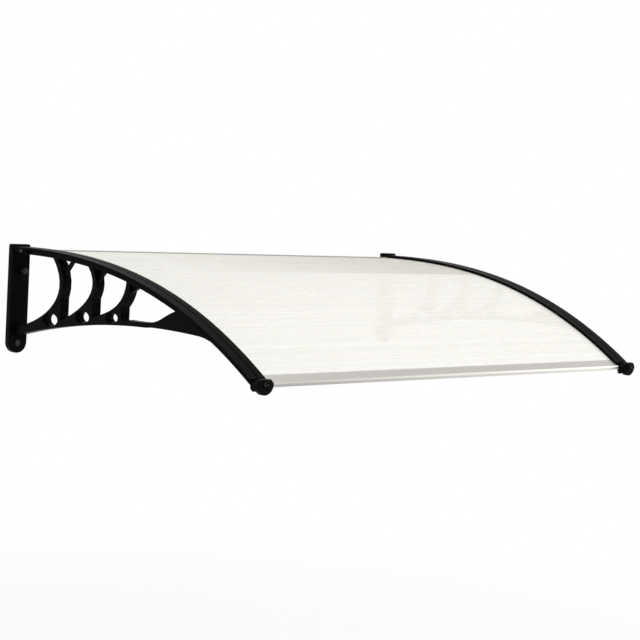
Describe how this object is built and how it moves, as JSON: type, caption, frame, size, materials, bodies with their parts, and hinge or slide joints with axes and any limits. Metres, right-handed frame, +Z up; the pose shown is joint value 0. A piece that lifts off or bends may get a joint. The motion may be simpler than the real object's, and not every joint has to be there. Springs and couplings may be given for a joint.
{
  "type": "door canopy",
  "caption": "Arched door canopy: a clear ribbed sheet between moulded crescent-strut wall brackets with cover strips, and metal rails at its front and rear edges.",
  "frame": {"origin": "on the rear seal's flat back face, midway between the brackets, in the plane of the wall", "axes": "+X along the wall, +Y into the wall (the canopy reaches out towards -Y), +Z up"},
  "size_m": [1.2494, 0.7943, 0.2442],
  "materials": {
    "black_plastic": "satin moulded",
    "clear_sheet": "clear twin-wall",
    "aluminium": "mill",
    "seal_rubber": "matte",
    "black_screw_steel": "black coated"
  },
  "bodies": {
    "root": {"bracket_left": "black_plastic", "bracket_right": "black_plastic", "cover_strip_left": "black_plastic", "cover_strip_right": "black_plastic", "end_cap_left": "black_plastic", "end_cap_right": "black_plastic", "roof_sheet": "clear_sheet", "front_rail": "aluminium", "rear_rail": "aluminium", "rear_seal": "seal_rubber", "cap_screw_left": "black_screw_steel", "cap_screw_right": "black_screw_steel", "root_screw_left": "black_screw_steel", "root_screw_right": "black_screw_steel", "strip_screw_left_1": "black_screw_steel", "strip_screw_left_2": "black_screw_steel", "strip_screw_left_3": "black_screw_steel", "strip_screw_left_4": "black_screw_steel", "strip_screw_left_5": "black_screw_steel", "strip_screw_right_1": "black_screw_steel", "strip_screw_right_2": "black_screw_steel", "strip_screw_right_3": "black_screw_steel", "strip_screw_right_4": "black_screw_steel", "strip_screw_right_5": "black_screw_steel", "wall_bolt_left_lower": "black_screw_steel", "wall_bolt_left_upper": "black_screw_steel", "wall_bolt_right_lower": "black_screw_steel", "wall_bolt_right_upper": "black_screw_steel", "washer_left_lower": "black_screw_steel", "washer_left_upper": "black_screw_steel", "washer_right_lower": "black_screw_steel", "washer_right_upper": "black_screw_steel"}
  },
  "joints": []
}
